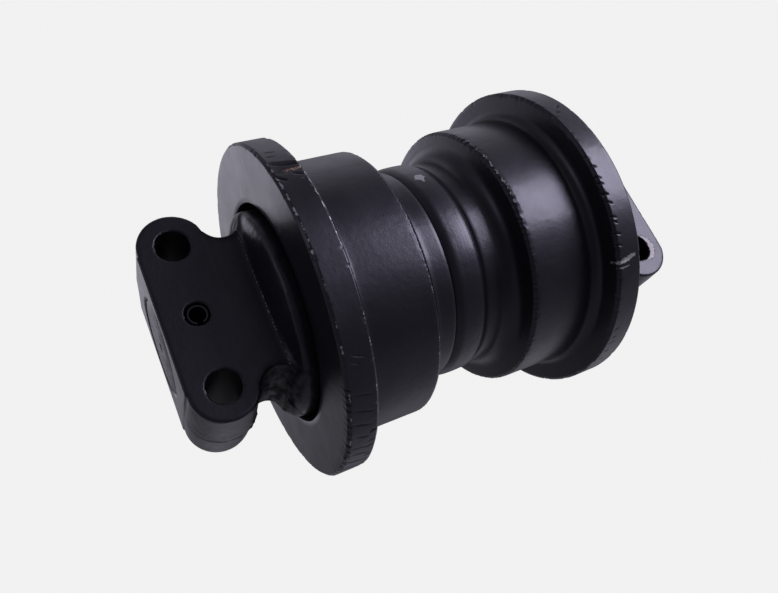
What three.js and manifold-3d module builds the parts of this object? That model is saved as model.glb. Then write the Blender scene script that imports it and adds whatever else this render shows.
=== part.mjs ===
// Bottom track roller for a crawler undercarriage, built as the assembly it is on a bench:
// a flanged roller shell that turns on a fixed axle, carried between two bolt-on end collars.
// Frame, in millimetres: +Y along the axle from the left collar to the right one, +Z out of the
// collars' mounting faces (up, towards the track frame), origin at the centre of the roller.
import * as THREE from 'three';
import { mergeVertices } from 'three/addons/utils/BufferGeometryUtils.js';
import Module from 'manifold-3d';

const wasm = await Module();
wasm.setup();

// ---- driving dimensions -------------------------------------------------------------------
const GAP = 0.3; // clearance kept between pieces that rest on each other
const OVERRUN = 1; // how far a cutter runs past the face it opens

// round-part resolution: multiples of four, so the facets line up again at each quarter turn
const ROUND_SEGMENTS = 36;
const HOLE_SEGMENTS = 20;
const CORD_SEGMENTS = 6;

// shell, radii and distances from the middle of the roller
const flange = { r: 95, rimIn: 74.7, rimOut: 91.2, chamfer: 1.4, wallR: 84, wallY: 73 };
const tread = { r: 79.2, inner: 31.4, outer: 68, chamfer: 1.2, rootFillet: 6 };
const waist = { r: 63, end: 19.5, fillet: 9.5, wallY: 29.6 };
const weld = { r: 64.8, halfWidth: 10.3, rootR: 50, rootHalfWidth: 3.2, crown: 0.8 };
const recess = { r: 63, floorY: 80.5 };
const sealSeat = { r: 51, floorR: 50.2, floorY: 68.5 };
const oilCavity = { r: 42, end: 14 };

// bushes
const bush = { bore: 31.15, r: 36, start: 15, end: 66, flangeR: 41, flangeStart: 62 };

// axle
const axle = { r: 31, shoulder: 66, endR: 26, end: 153.7, chamfer: 1.5 };
const oilWay = { r: 4, offset: 14, crossR: 3, mouthR: 7.3, mouthDepth: 13 };
const centreDrill = { r: 3, depth: 4, tipR: 0.1 };
const axleRing = { y: 103, grooveR: 23.1, grooveWidth: 4, centreR: 24.55, cordR: 1.3 };

// floating seals, one pair at each end
const seal = { boreR: 37.6, tailR: 42.6, lipR: 48.4, tailY: 70, lipY: 77.8, faceY: 81, edge: 0.6 };
const sealCord = { centreR: 46.6, y: 74, r: 3.2 };
const sealMirrorY = seal.faceY + GAP / 2;

// collars
const collar = {
  top: 31.8, bottom: -32, boreR: 26.3, edge: 1.5,
  hubR: 36, hubStart: 66.6, cavityR: 50.6, cavityFloor: 93.4, cavityMouth: 82.3,
  discR: 59, discShoulder: 95.8, neckY: 101.5,
};
// outer face of the collar's round housing, from its rounded edge in to the neck: [radius, y]
const discFace = [[58, 97], [53, 98.6], [47, 99.9]];
const boltHole = { x: 39.5, y: 135.2, r: 8.75, lobeR: 19, chamfer: 0.5 };
const notch = { x: 48.5, y: 108.3 };

// lock pins: slotted spring pins through collar and axle
const lockPin = { y: 135.2, r: 6, boreR: 4.3, slit: 4, holeR: 6.3, sunk: 1.2, seat: 4 };

// oil plug
const plug = { r: 7, length: 11, socketR: 3, socketDepth: 7, sunk: 0.5 };

// ---- colours ------------------------------------------------------------------------------
const finishes = {
  blackPaint: { color: 0x17171c, roughness: 0.38, metalness: 0.1 },
  castPaint: { color: 0x131317, roughness: 0.55, metalness: 0.1 },
  groundSteel: { color: 0xa6a8ab, roughness: 0.3, metalness: 0.9 },
  springSteel: { color: 0x2a2a2e, roughness: 0.45, metalness: 0.6 },
  bronze: { color: 0xb08a4a, roughness: 0.35, metalness: 0.9 },
  sealIron: { color: 0x6d6f73, roughness: 0.3, metalness: 0.8 },
  rubber: { color: 0x141414, roughness: 0.8, metalness: 0 },
};

// ---- solids -------------------------------------------------------------------------------
// A three.js geometry as a closed solid: vertices merged by position, empty triangles dropped.
function solidOf(geometry) {
  const bare = geometry.clone();
  for (const name of Object.keys(bare.attributes)) {
    if (name !== 'position') bare.deleteAttribute(name);
  }
  const merged = mergeVertices(bare);
  const source = merged.index.array;
  const corners = [];
  for (let i = 0; i < source.length; i += 3) {
    const [a, b, c] = [source[i], source[i + 1], source[i + 2]];
    if (a !== b && b !== c && c !== a) corners.push(a, b, c);
  }
  return new wasm.Manifold(new wasm.Mesh({
    numProp: 3,
    vertProperties: Float32Array.from(merged.attributes.position.array),
    triVerts: Uint32Array.from(corners),
  }));
}

function geometryOf(solid) {
  const mesh = solid.getMesh();
  const geometry = new THREE.BufferGeometry();
  geometry.setAttribute('position', new THREE.BufferAttribute(mesh.vertProperties, mesh.numProp));
  geometry.setIndex(new THREE.BufferAttribute(mesh.triVerts, 1));
  geometry.computeVertexNormals();
  return geometry;
}

// A ring or disc about +Y from [radius, y] points, listed anticlockwise with radius to the right.
function turned(profile) {
  const points = profile.map(([r, y]) => new THREE.Vector2(r, y));
  return solidOf(new THREE.LatheGeometry(points, ROUND_SEGMENTS));
}

function turnedRing(profile) {
  return turned([...profile, profile[0]]);
}

// A plain turned bar, faceted like the axle that fits in its hole.
function turnedBar(radius, low, high) {
  return turned([[0, low], [radius, low], [radius, high], [0, high]]);
}

// Points along an arc in a turned profile, angles in degrees from the +radius direction.
function arc(r, y, radius, from, to, steps) {
  return Array.from({ length: steps + 1 }, (_, i) => {
    const angle = THREE.MathUtils.degToRad(from + ((to - from) * i) / steps);
    return [r + radius * Math.cos(angle), y + radius * Math.sin(angle)];
  });
}

function torus(centreR, y, cordR) {
  const points = arc(centreR, y, cordR, 0, 360, CORD_SEGMENTS);
  points[points.length - 1] = points[0];
  return turned(points);
}

// A straight drill along +Z or +X between two coordinates.
function drillUp(x, y, radius, low, high) {
  const drill = new THREE.CylinderGeometry(radius, radius, high - low, HOLE_SEGMENTS);
  drill.rotateX(Math.PI / 2).translate(x, y, (low + high) / 2);
  return solidOf(drill);
}

function drillAcross(y, radius, low, high) {
  const drill = new THREE.CylinderGeometry(radius, radius, high - low, HOLE_SEGMENTS);
  drill.rotateZ(Math.PI / 2).translate((low + high) / 2, y, 0);
  return solidOf(drill);
}

function drillAlong(x, radius, low, high, tipRadius = radius) {
  const drill = new THREE.CylinderGeometry(radius, tipRadius, high - low, HOLE_SEGMENTS);
  return solidOf(drill.translate(x, (low + high) / 2, 0));
}

// A cone that breaks the edge of an upright hole at height z, opening upward for side = 1.
function holeChamfer(x, y, z, radius, size, side) {
  const [top, bottom] = side > 0 ? [radius + 2 * size, radius] : [radius, radius + 2 * size];
  const cone = new THREE.CylinderGeometry(top, bottom, 2 * size, HOLE_SEGMENTS);
  return solidOf(cone.rotateX(Math.PI / 2).translate(x, y, z));
}

// ---- pieces of the right-hand end (+Y) -------------------------------------------------------
function shellHalf() {
  const cornerR = flange.r - flange.chamfer;
  const profile = [
    [oilCavity.r, GAP / 2],
    [weld.rootR - GAP, GAP / 2],
    [weld.rootR - GAP, weld.rootHalfWidth + GAP],
    [waist.r, weld.halfWidth + GAP],
    ...arc(waist.r + waist.fillet, waist.end, waist.fillet, 180, 90, 4),
    [tread.r - tread.chamfer, waist.wallY],
    [tread.r, tread.inner],
    ...arc(tread.r + tread.rootFillet, tread.outer, tread.rootFillet, 180, 110, 3),
    [flange.wallR, flange.wallY],
    [cornerR, flange.rimIn],
    [flange.r, flange.rimIn + flange.chamfer],
    [flange.r, flange.rimOut - flange.chamfer],
    [cornerR, flange.rimOut],
    [recess.r, flange.rimOut],
    [recess.r, recess.floorY],
    [sealSeat.r, recess.floorY],
    [sealSeat.floorR, sealSeat.floorY],
    [bush.flangeR + GAP, sealSeat.floorY],
    [bush.flangeR + GAP, bush.flangeStart - GAP],
    [bush.r + GAP, bush.flangeStart - GAP],
    [bush.r + GAP, oilCavity.end],
    [oilCavity.r, oilCavity.end],
  ];
  return turnedRing(profile);
}

function flangedBush() {
  return turnedRing([
    [bush.bore, bush.start], [bush.r, bush.start], [bush.r, bush.flangeStart],
    [bush.flangeR, bush.flangeStart], [bush.flangeR, bush.end], [bush.bore, bush.end],
  ]);
}

// Outline as turned for the rotating ring; the fixed ring is its mirror across the lapped faces.
function sealRing() {
  return turnedRing([
    [seal.boreR, seal.tailY], [seal.tailR, seal.tailY],
    [seal.tailR + seal.edge, seal.lipY - seal.edge], [seal.lipR, seal.lipY],
    [seal.lipR, seal.faceY], [seal.boreR, seal.faceY],
  ]);
}

function collarOutline() {
  const half = Math.hypot(boltHole.x - notch.x, boltHole.y - notch.y);
  const lobeToNotch = Math.atan2(notch.y - boltHole.y, notch.x - boltHole.x);
  const notchR = half - boltHole.lobeR;
  const shape = new THREE.Shape();
  shape.moveTo(-notch.x, collar.cavityFloor + OVERRUN);
  shape.lineTo(notch.x, collar.cavityFloor + OVERRUN);
  shape.absarc(notch.x, notch.y, notchR, -Math.PI / 2, lobeToNotch + Math.PI, true);
  shape.absarc(boltHole.x, boltHole.y, boltHole.lobeR, lobeToNotch, Math.PI / 2, false);
  shape.absarc(-boltHole.x, boltHole.y, boltHole.lobeR, Math.PI / 2, Math.PI - lobeToNotch, false);
  shape.absarc(-notch.x, notch.y, notchR, -lobeToNotch, -Math.PI / 2, true);
  return shape;
}

function collarBlock() {
  const block = new THREE.ExtrudeGeometry(collarOutline(), {
    depth: collar.top - collar.bottom - 2 * collar.edge,
    bevelThickness: collar.edge, bevelSize: collar.edge, bevelOffset: -collar.edge,
    bevelSegments: 1, curveSegments: 10,
  });
  return solidOf(block.translate(0, 0, collar.bottom + collar.edge));
}

// The round seal housing: rim inside the flange recess, outer face swept down to the neck.
function collarDisc() {
  return turned([
    [collar.boreR, collar.hubStart], [collar.hubR, collar.hubStart],
    [collar.hubR, collar.cavityFloor], [collar.cavityR, collar.cavityFloor],
    [collar.cavityR, collar.cavityMouth], [collar.discR, collar.cavityMouth],
    [collar.discR, collar.discShoulder], ...discFace,
    [collar.hubR, collar.neckY], [collar.boreR, collar.neckY],
    [collar.boreR, collar.hubStart],
  ]);
}

function collarSolid() {
  let solid = collarBlock().add(collarDisc());
  solid = solid.subtract(turnedBar(collar.boreR, collar.hubStart - OVERRUN, axle.end + OVERRUN));
  for (const x of [-boltHole.x, boltHole.x]) {
    const [low, high] = [collar.bottom - OVERRUN, collar.top + OVERRUN];
    solid = solid.subtract(drillUp(x, boltHole.y, boltHole.r, low, high));
    for (const [z, side] of [[collar.top, 1], [collar.bottom, -1]]) {
      solid = solid.subtract(holeChamfer(x, boltHole.y, z, boltHole.r, boltHole.chamfer, side));
    }
  }
  const pinTop = holeChamfer(0, lockPin.y, collar.top, lockPin.holeR, boltHole.chamfer, 1);
  return solid.subtract(pinTop).subtract(lockPinHole());
}

function lockPinHole() {
  const seat = collar.bottom + lockPin.seat;
  return drillUp(0, lockPin.y, lockPin.holeR, seat, collar.top + OVERRUN);
}

// A rolled pin: a C section with its slit towards -X.
function lockPinSolid() {
  const slitHalf = lockPin.slit / 2;
  const outer = Math.PI - Math.asin(slitHalf / lockPin.r);
  const inner = Math.PI - Math.asin(slitHalf / lockPin.boreR);
  const section = new THREE.Shape();
  section.absarc(0, 0, lockPin.r, -outer, outer, false);
  section.absarc(0, 0, lockPin.boreR, inner, -inner, true);
  const low = collar.bottom + lockPin.seat + GAP;
  const pin = new THREE.ExtrudeGeometry(section, {
    depth: collar.top - lockPin.sunk - low, bevelEnabled: false, curveSegments: 16,
  });
  return solidOf(pin.translate(0, lockPin.y, low));
}

// ---- pieces in the middle --------------------------------------------------------------------
function weldBand() {
  const w = weld.halfWidth;
  return turnedRing([
    [weld.rootR, -weld.rootHalfWidth], [weld.r - weld.crown, -w], [weld.r, -w / 2],
    [weld.r, w / 2], [weld.r - weld.crown, w], [weld.rootR, weld.rootHalfWidth],
  ]);
}

// Outer profile of one half of the axle, from the middle to the end face.
function axleHalfProfile() {
  const { r, shoulder, endR, end, chamfer } = axle;
  const [ringLow, ringHigh] = [-1, 1].map((s) => axleRing.y + (s * axleRing.grooveWidth) / 2);
  return [
    [r, shoulder - chamfer], [r - chamfer, shoulder], [endR, shoulder],
    [endR, ringLow], [axleRing.grooveR, ringLow], [axleRing.grooveR, ringHigh],
    [endR, ringHigh], [endR, end - chamfer], [endR - chamfer, end],
  ];
}

function axleSolid() {
  const right = axleHalfProfile();
  const left = right.map(([r, y]) => [r, -y]).reverse();
  let solid = turned([[0, -axle.end], ...left, ...right, [0, axle.end]]);
  for (const side of [-1, 1]) {
    const pinY = side * lockPin.y;
    solid = solid.subtract(drillUp(0, pinY, lockPin.holeR, -axle.r, axle.r));
    const tip = side * (axle.end - centreDrill.depth);
    const mouth = side * (axle.end + centreDrill.depth);
    const [low, high] = side > 0 ? [tip, mouth] : [mouth, tip];
    const wide = 2 * centreDrill.r;
    const [outerR, innerR] = side > 0 ? [wide, centreDrill.tipR] : [centreDrill.tipR, wide];
    solid = solid.subtract(drillAlong(0, outerR, low, high, innerR));
  }
  const mouthStart = axle.end - oilWay.mouthDepth;
  return solid
    .subtract(drillAlong(oilWay.offset, oilWay.r, -oilWay.crossR, axle.end))
    .subtract(drillAlong(oilWay.offset, oilWay.mouthR, mouthStart, axle.end + OVERRUN))
    .subtract(drillAcross(0, oilWay.crossR, oilWay.offset, axle.r + OVERRUN));
}

function oilPlug() {
  const outer = axle.end - plug.sunk;
  const body = drillAlong(oilWay.offset, plug.r, outer - plug.length, outer);
  const socket = new THREE.CylinderGeometry(plug.socketR, plug.socketR, plug.socketDepth, 6);
  socket.translate(oilWay.offset, outer + OVERRUN - plug.socketDepth / 2, 0);
  return body.subtract(solidOf(socket));
}

// ---- assembly ------------------------------------------------------------------------------
function named(name, solid, finish) {
  const material = new THREE.MeshStandardMaterial({ name: finish, ...finishes[finish] });
  const mesh = new THREE.Mesh(geometryOf(solid), material);
  mesh.name = name;
  return mesh;
}

function turnedAbout(group, y) {
  group.position.y = 2 * y;
  group.rotation.x = Math.PI;
  return group;
}

// Everything that is repeated at each end, made for the right-hand end.
function endPieces(side) {
  const end = new THREE.Group();
  end.add(named(`shell_half_${side}`, shellHalf(), 'blackPaint'));
  end.add(named(`flanged_bush_${side}`, flangedBush(), 'bronze'));
  end.add(named(`rotating_seal_ring_${side}`, sealRing(), 'sealIron'));
  end.add(named(`rotating_seal_toric_${side}`,
    torus(sealCord.centreR, sealCord.y, sealCord.r), 'rubber'));
  const fixedSeal = turnedAbout(new THREE.Group(), sealMirrorY);
  fixedSeal.add(named(`fixed_seal_ring_${side}`, sealRing(), 'sealIron'));
  fixedSeal.add(named(`fixed_seal_toric_${side}`,
    torus(sealCord.centreR, sealCord.y, sealCord.r), 'rubber'));
  end.add(fixedSeal);
  end.add(named(`collar_${side}`, collarSolid(), 'castPaint'));
  end.add(named(`lock_pin_${side}`, lockPinSolid(), 'springSteel'));
  end.add(named(`axle_o_ring_${side}`,
    torus(axleRing.centreR, axleRing.y, axleRing.cordR), 'rubber'));
  return end;
}

const trackRoller = new THREE.Group();
trackRoller.name = 'track_roller';
trackRoller.add(named('weld_band', weldBand(), 'blackPaint'));
trackRoller.add(named('axle', axleSolid(), 'groundSteel'));
trackRoller.add(named('oil_plug', oilPlug(), 'groundSteel'));
trackRoller.add(endPieces('right'));
const leftEnd = endPieces('left');
leftEnd.rotation.z = Math.PI;
trackRoller.add(leftEnd);

export default trackRoller;
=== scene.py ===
"""Looks of a black-enamelled bottom track roller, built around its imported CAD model.

Every length in this file is in millimetres and becomes metres where a mesh, lamp or camera is made.
The axle lies along Y, the collars' mounting faces look along +Z, and the origin is the roller's centre.
Angles round the axle are in degrees from +Z towards +X.
"""
import math

import bpy
import numpy as np
from mathutils import Matrix, Vector


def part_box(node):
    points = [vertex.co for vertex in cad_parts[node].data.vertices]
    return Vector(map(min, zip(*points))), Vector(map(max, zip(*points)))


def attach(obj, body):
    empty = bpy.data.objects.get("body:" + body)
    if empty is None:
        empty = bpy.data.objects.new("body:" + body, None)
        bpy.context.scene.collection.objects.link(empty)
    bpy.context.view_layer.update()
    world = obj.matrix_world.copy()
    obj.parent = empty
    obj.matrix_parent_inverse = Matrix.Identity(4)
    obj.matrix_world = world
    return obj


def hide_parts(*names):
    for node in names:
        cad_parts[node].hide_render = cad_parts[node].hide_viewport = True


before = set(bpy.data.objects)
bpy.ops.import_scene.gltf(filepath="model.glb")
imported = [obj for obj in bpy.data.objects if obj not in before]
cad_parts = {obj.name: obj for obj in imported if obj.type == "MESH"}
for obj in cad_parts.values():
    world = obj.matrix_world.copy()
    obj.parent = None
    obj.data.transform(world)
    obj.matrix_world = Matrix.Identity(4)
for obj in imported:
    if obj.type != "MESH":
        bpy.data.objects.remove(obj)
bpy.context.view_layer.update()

MM = 0.001


# ---- sizes ---------------------------------------------------------------------------------
def cad_high(node):
    """Highest corner of a CAD node, in millimetres."""
    return [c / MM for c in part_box(node)[1]]


def cad_low(node):
    """Lowest corner of a CAD node, in millimetres."""
    return [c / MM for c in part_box(node)[0]]


RIM_R = cad_high("shell_half_right")[2]
RIM_OUT = cad_high("shell_half_right")[1]
RIM_WIDTH, RIM_CHAMFER = 16.5, 1.4
RIM_IN = RIM_OUT - RIM_WIDTH
TREAD_R, TREAD_IN, TREAD_OUT, TREAD_ROOT = RIM_R - 15.8, 31.4, 68.0, 6
WAIST_R, WAIST_END, WAIST_FILLET, WAIST_WALL = 63.0, 19.5, 9.5, 29.0
WELD_HALF = cad_high("weld_band")[1]
WELD_R = cad_high("weld_band")[2]
WELD_ROOT_R, WELD_ROOT_HALF = 50.0, 3.2
RECESS_R, RECESS_FLOOR, RECESS_CORNER = 63.0, 80.5, 1.5
SEAT_R, SEAT_FLOOR_R, SEAT_FLOOR = 51, 50.2, 68.5  # the conical seat of the rotating seal
BUSH_SEAT_R, BUSH_FLANGE_R, BUSH_FLANGE_Y = 36.3, 41.3, 61.7  # the shell's bore for its bush
OIL_R, OIL_END = 42, 14  # the oil space in the middle of the shell

COLLAR_TOP = 31.8
COLLAR_BOTTOM = -32.0
COLLAR_END = cad_high("collar_right")[1]
HUB_START = cad_low("collar_right")[1]
DISC_R = cad_high("collar_right")[2]
DISC_MOUTH = 82.3
NECK_Y = 101.5
BOLT_X, BOLT_Y, BOLT_R, LOBE_R = 39.5, 135.2, 8.75, 19.0
NOTCH_X, NOTCH_Y, NOTCH_R = 48.5, 108.3, 9.3
PARTING_Z = -4.0
BAR_START, NECK_STOP = 116, 120  # the block's bar and neck run into each other between these
NECK_START = 91.0  # where the neck begins, inside the wall of the round housing
HUB_R, CAVITY_R, CAVITY_FLOOR = 36.0, 50.6, 93.4
BORE_R = 26.3

AXLE_R = cad_high("axle")[2]
AXLE_END = cad_high("axle")[1]
AXLE_END_R = 26.0
AXLE_SHOULDER = 66.0
AXLE_RING_Y, AXLE_GROOVE_R = 103.0, 23.1
OIL_WAY_X, OIL_WAY_R, OIL_MOUTH_R, OIL_CROSS_R = 14, 4, 7.3, 3
PIN_R, PIN_BORE_R, PIN_SLIT = 6.0, 4.3, 4.0
PIN_HOLE_R = 6.3


# ---- noise ---------------------------------------------------------------------------------
def hashed(ix, iy, iz, seed):
    """A repeatable value from 0 to 1 for each lattice point."""
    n = ix * 374761393 + iy * 668265263 + iz * 1440662683 + seed * 1274126177
    n = (n ^ (n >> 13)) * 1103515245
    return ((n ^ (n >> 16)) & 0xFFFFF) / 0xFFFFF


def noise(x, y, z, size, seed):
    """Smooth value noise from -1 to 1, with features about size across."""
    cells, weights = [], []
    for c in (x, y, z):
        c = np.asarray(c, float) / size
        low = np.floor(c)
        t = c - low
        cells.append(low.astype(np.int64))
        weights.append(t * t * (3 - 2 * t))
    total = 0.0
    for dx in (0, 1):
        for dy in (0, 1):
            for dz in (0, 1):
                w = 1.0
                for t, d in zip(weights, (dx, dy, dz)):
                    w = w * (t if d else 1 - t)
                total = total + w * hashed(cells[0] + dx, cells[1] + dy, cells[2] + dz, seed)
    return 2 * total - 1


def rough(x, y, z, size, seed, octaves=3):
    """Noise with finer octaves on top."""
    return sum(noise(x, y, z, size / 2**k, seed + k) / 2**k for k in range(octaves))


def step_up(low, high, value):
    """0 below low, 1 above high, smooth between."""
    t = np.clip((value - low) / (high - low), 0, 1)
    return t * t * (3 - 2 * t)


def near(value, middle, width, power=2):
    """1 at the middle, falling to nothing past the width, more squarely for a higher power."""
    return np.exp(-(((value - middle) / width) ** power))


# ---- meshes --------------------------------------------------------------------------------
def piece(name, points, faces, material, layers=None, crease=35):
    """A mesh object from points in millimetres, smooth but for edges sharper than crease."""
    mesh = bpy.data.meshes.new(name)
    mesh.from_pydata([tuple(p) for p in np.asarray(points) * MM], [], [tuple(f) for f in faces])
    for layer, values in (layers or {}).items():
        data = mesh.attributes.new(layer, "FLOAT", "POINT")
        data.data.foreach_set("value", np.asarray(values, np.float32))
    mesh.polygons.foreach_set("use_smooth", np.ones(len(mesh.polygons), bool))
    mesh.set_sharp_from_angle(angle=math.radians(crease))
    mesh.materials.append(material)
    mesh.validate()
    obj = bpy.data.objects.new(name, mesh)
    bpy.context.scene.collection.objects.link(obj)
    return obj


def line(start, end, step):
    """Points from start up to, and without, end."""
    count = max(1, round(math.dist(start, end) / step))
    return [
        tuple(a + (b - a) * i / count for a, b in zip(start, end)) for i in range(count)
    ]


def arc(centre, radius, first, last, count):
    """Points on an arc in (radius, y), angles in degrees from the +radius direction."""
    angles = np.radians(np.linspace(first, last, count + 1)[:-1])
    return [(centre[0] + radius * math.cos(a), centre[1] + radius * math.sin(a)) for a in angles]


def turned_grid(outline, columns, side=1):
    """Radius, y and angle arrays of a ring turned about Y; side -1 mirrors it to -Y."""
    r, y = np.array(outline).T
    angle = np.arange(columns) * 360 / columns
    return np.broadcast_arrays(r[:, None], side * y[:, None], angle[None, :])


def turned_points(r, y, angle):
    """Points from arrays of radius, y and angle, one row for each."""
    a = np.radians(angle)
    return np.stack([r * np.sin(a), y, r * np.cos(a)], -1).reshape(-1, 3)


def ring_faces(rows, columns, side=1):
    """Quads of a ring that closes both ways, facing out for an anticlockwise outline."""
    i, j = np.meshgrid(np.arange(rows), np.arange(columns), indexing="ij")
    following, beside = (i + 1) % rows, (j + 1) % columns
    corners = [i * columns + j, i * columns + beside]
    corners += [following * columns + beside, following * columns + j]
    faces = np.stack(corners, -1).reshape(-1, 4)
    return faces if side > 0 else faces[:, ::-1]


def turned(name, outline, material, columns=144, side=1):
    """A closed ring about Y from an anticlockwise outline of (radius, y) points."""
    r, y, angle = turned_grid(outline, columns, side)
    return piece(name, turned_points(r, y, angle), ring_faces(len(outline), columns, side), material)


def turned_bar(name, outline, material, columns=144):
    """A solid bar about Y; the outline starts and ends on the axis."""
    inner = outline[1:-1]
    r, y, angle = turned_grid(inner, columns)
    points = list(turned_points(r, y, angle))
    faces = list(ring_faces(len(inner), columns)[: (len(inner) - 1) * columns])
    low, high = len(points), len(points) + 1
    points += [(0, outline[0][1], 0), (0, outline[-1][1], 0)]
    last = (len(inner) - 1) * columns
    for j in range(columns):
        beside = (j + 1) % columns
        faces.append((low, beside, j))
        faces.append((high, last + j, last + beside))
    return piece(name, points, faces, material)


def cylinder(centre, axis, radius, length, sides=48, end_radius=None):
    """A plain closed cylinder or cone, only used as a cutter."""
    end_radius = radius if end_radius is None else end_radius
    direction = Vector(axis).normalized()
    spin = Vector((0, 0, 1)).rotation_difference(direction).to_matrix()
    points = []
    for z, rad in ((-length / 2, radius), (length / 2, end_radius)):
        for i in range(sides):
            a = 2 * math.pi * i / sides
            local = Vector((rad * math.cos(a), rad * math.sin(a), z))
            points.append(tuple(spin @ local + Vector(centre)))
    faces = [tuple(range(sides))[::-1], tuple(range(sides, 2 * sides))]
    for i in range(sides):
        j = (i + 1) % sides
        faces.append((i, j, j + sides, i + sides))
    mesh = bpy.data.meshes.new("cutter")
    mesh.from_pydata([tuple(c * MM for c in p) for p in points], [], faces)
    obj = bpy.data.objects.new("cutter", mesh)
    bpy.context.scene.collection.objects.link(obj)
    return obj


def cut(target, cutters):
    """Takes the cutters out of the target's mesh and removes them."""
    for cutter in cutters:
        modifier = target.modifiers.new("cut", "BOOLEAN")
        modifier.operation = "DIFFERENCE"
        modifier.solver = "EXACT"
        modifier.object = cutter
    shape = target.evaluated_get(bpy.context.evaluated_depsgraph_get())
    mesh = bpy.data.meshes.new_from_object(shape)
    target.modifiers.clear()
    target.data = mesh
    mesh.set_sharp_from_angle(angle=math.radians(30))
    for cutter in cutters:
        bpy.data.objects.remove(cutter)


# ---- materials -----------------------------------------------------------------------------
class Shader:
    """A short way to write a node tree."""

    def __init__(self, name):
        """A new material that takes its places from the object's own coordinates."""
        self.material = bpy.data.materials.new(name)
        self.material.use_nodes = True
        self.nodes = self.material.node_tree.nodes
        self.links = self.material.node_tree.links
        self.bsdf = self.nodes["Principled BSDF"]
        self.place = self.add("ShaderNodeTexCoord").outputs["Object"]

    def add(self, kind, **settings):
        """A new node with these properties."""
        node = self.nodes.new(kind)
        for key, value in settings.items():
            setattr(node, key, value)
        return node

    def join(self, source, target):
        """Links a socket, or sets a plain value, on a target socket."""
        if isinstance(source, bpy.types.NodeSocket):
            self.links.new(source, target)
        else:
            target.default_value = source

    def noise(self, size, detail=3.0, stretch=(1, 1, 1)):
        """Noise with features about size millimetres across, from 0 to 1."""
        mapping = self.add("ShaderNodeMapping")
        mapping.inputs["Scale"].default_value = stretch
        self.join(self.place, mapping.inputs["Vector"])
        node = self.add("ShaderNodeTexNoise")
        node.inputs["Scale"].default_value = 1 / (size * MM)
        node.inputs["Detail"].default_value = detail
        self.join(mapping.outputs["Vector"], node.inputs["Vector"])
        return node.outputs["Fac"]

    def layer(self, name):
        """A mesh's own layer of wear, from 0 to 1."""
        return self.add("ShaderNodeAttribute", attribute_name=name).outputs["Fac"]

    def math(self, operation, a, b=0.0):
        """One sum on two numbers or sockets."""
        node = self.add("ShaderNodeMath", operation=operation)
        self.join(a, node.inputs[0])
        self.join(b, node.inputs[1])
        return node.outputs[0]

    def span(self, value, low, high, to_low=0.0, to_high=1.0):
        """Maps a value's range low..high on to to_low..to_high, and holds it there."""
        node = self.add("ShaderNodeMapRange")
        for key, number in zip(
            ("From Min", "From Max", "To Min", "To Max"), (low, high, to_low, to_high)
        ):
            node.inputs[key].default_value = number
        self.join(value, node.inputs["Value"])
        return node.outputs["Result"]

    def mix(self, factor, a, b):
        """A colour between a and b."""
        node = self.add("ShaderNodeMix", data_type="RGBA")
        self.join(factor, node.inputs["Factor"])
        for socket, colour in ((6, a), (7, b)):
            if isinstance(colour, tuple):
                colour = (*colour, 1.0)
            self.join(colour, node.inputs[socket])
        return node.outputs[2]

    def blend(self, factor, a, b):
        """A number between a and b."""
        node = self.add("ShaderNodeMix", data_type="FLOAT")
        self.join(factor, node.inputs["Factor"])
        self.join(a, node.inputs[2])
        self.join(b, node.inputs[3])
        return node.outputs[0]

    def bump(self, *heights):
        """Bumps from (height, depth in millimetres) pairs, one on the other."""
        normal = None
        for height, depth in heights:
            node = self.add("ShaderNodeBump")
            node.inputs["Distance"].default_value = depth * MM
            self.join(height, node.inputs["Height"])
            if normal is not None:
                self.join(normal, node.inputs["Normal"])
            normal = node.outputs["Normal"]
        self.join(normal, self.bsdf.inputs["Normal"])

    def set(self, **values):
        """Joins values to the surface's inputs, named with underscores for spaces."""
        for key, value in values.items():
            self.join(value, self.bsdf.inputs[key.replace("_", " ")])
        return self


# The enamel under its dust, and what shows through it.
BLACK = (0.0056, 0.0055, 0.0078)
BLACK_DUSTY = (0.0110, 0.0106, 0.0140)
PALE_SPECK = (0.05, 0.05, 0.055)
BARE_STEEL = (0.42, 0.40, 0.42)
RUST = (0.26, 0.155, 0.12)
SATIN_TINT = (0.83, 0.80, 1.0, 1.0)


def enamel(name, roughness, peel, grain):
    """Satin black enamel: orange peel, cast grain, dust, and bare metal where the layers say."""
    s = Shader(name)
    dust = s.span(s.noise(38, 4), 0.42, 0.75)
    speck = s.span(s.noise(1.1, 2), 0.70, 0.76)
    colour = s.mix(dust, BLACK, BLACK_DUSTY)
    colour = s.mix(s.math("MULTIPLY", speck, 0.35), colour, PALE_SPECK)
    fray = s.span(s.noise(0.9, 3), 0.3, 0.7, -0.35, 0.35)
    bare = s.span(s.math("ADD", s.layer("bare"), fray), 0.45, 0.6)
    rust = s.span(s.math("ADD", s.layer("rust"), fray), 0.4, 0.9)
    pit = s.layer("pit")
    colour = s.mix(rust, colour, RUST)
    colour = s.mix(bare, colour, BARE_STEEL)
    gloss = s.span(s.noise(14, 4), 0.3, 0.7, roughness - 0.03, roughness + 0.04)
    gloss = s.blend(bare, gloss, 0.42)
    gloss = s.blend(s.math("MAXIMUM", rust, pit), gloss, 0.75)
    s.bump((s.noise(3.2, 2), peel), (s.noise(0.8, 3), grain))
    s.set(Base_Color=colour, Roughness=gloss, Metallic=s.math("MULTIPLY", bare, 0.85))
    s.set(Specular_Tint=SATIN_TINT, IOR=1.52, Specular_IOR_Level=s.blend(pit, 0.5, 0.06))
    s.set(Coat_Weight=s.blend(pit, 0.12, 0.0), Coat_Roughness=0.22)
    return s.material


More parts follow.
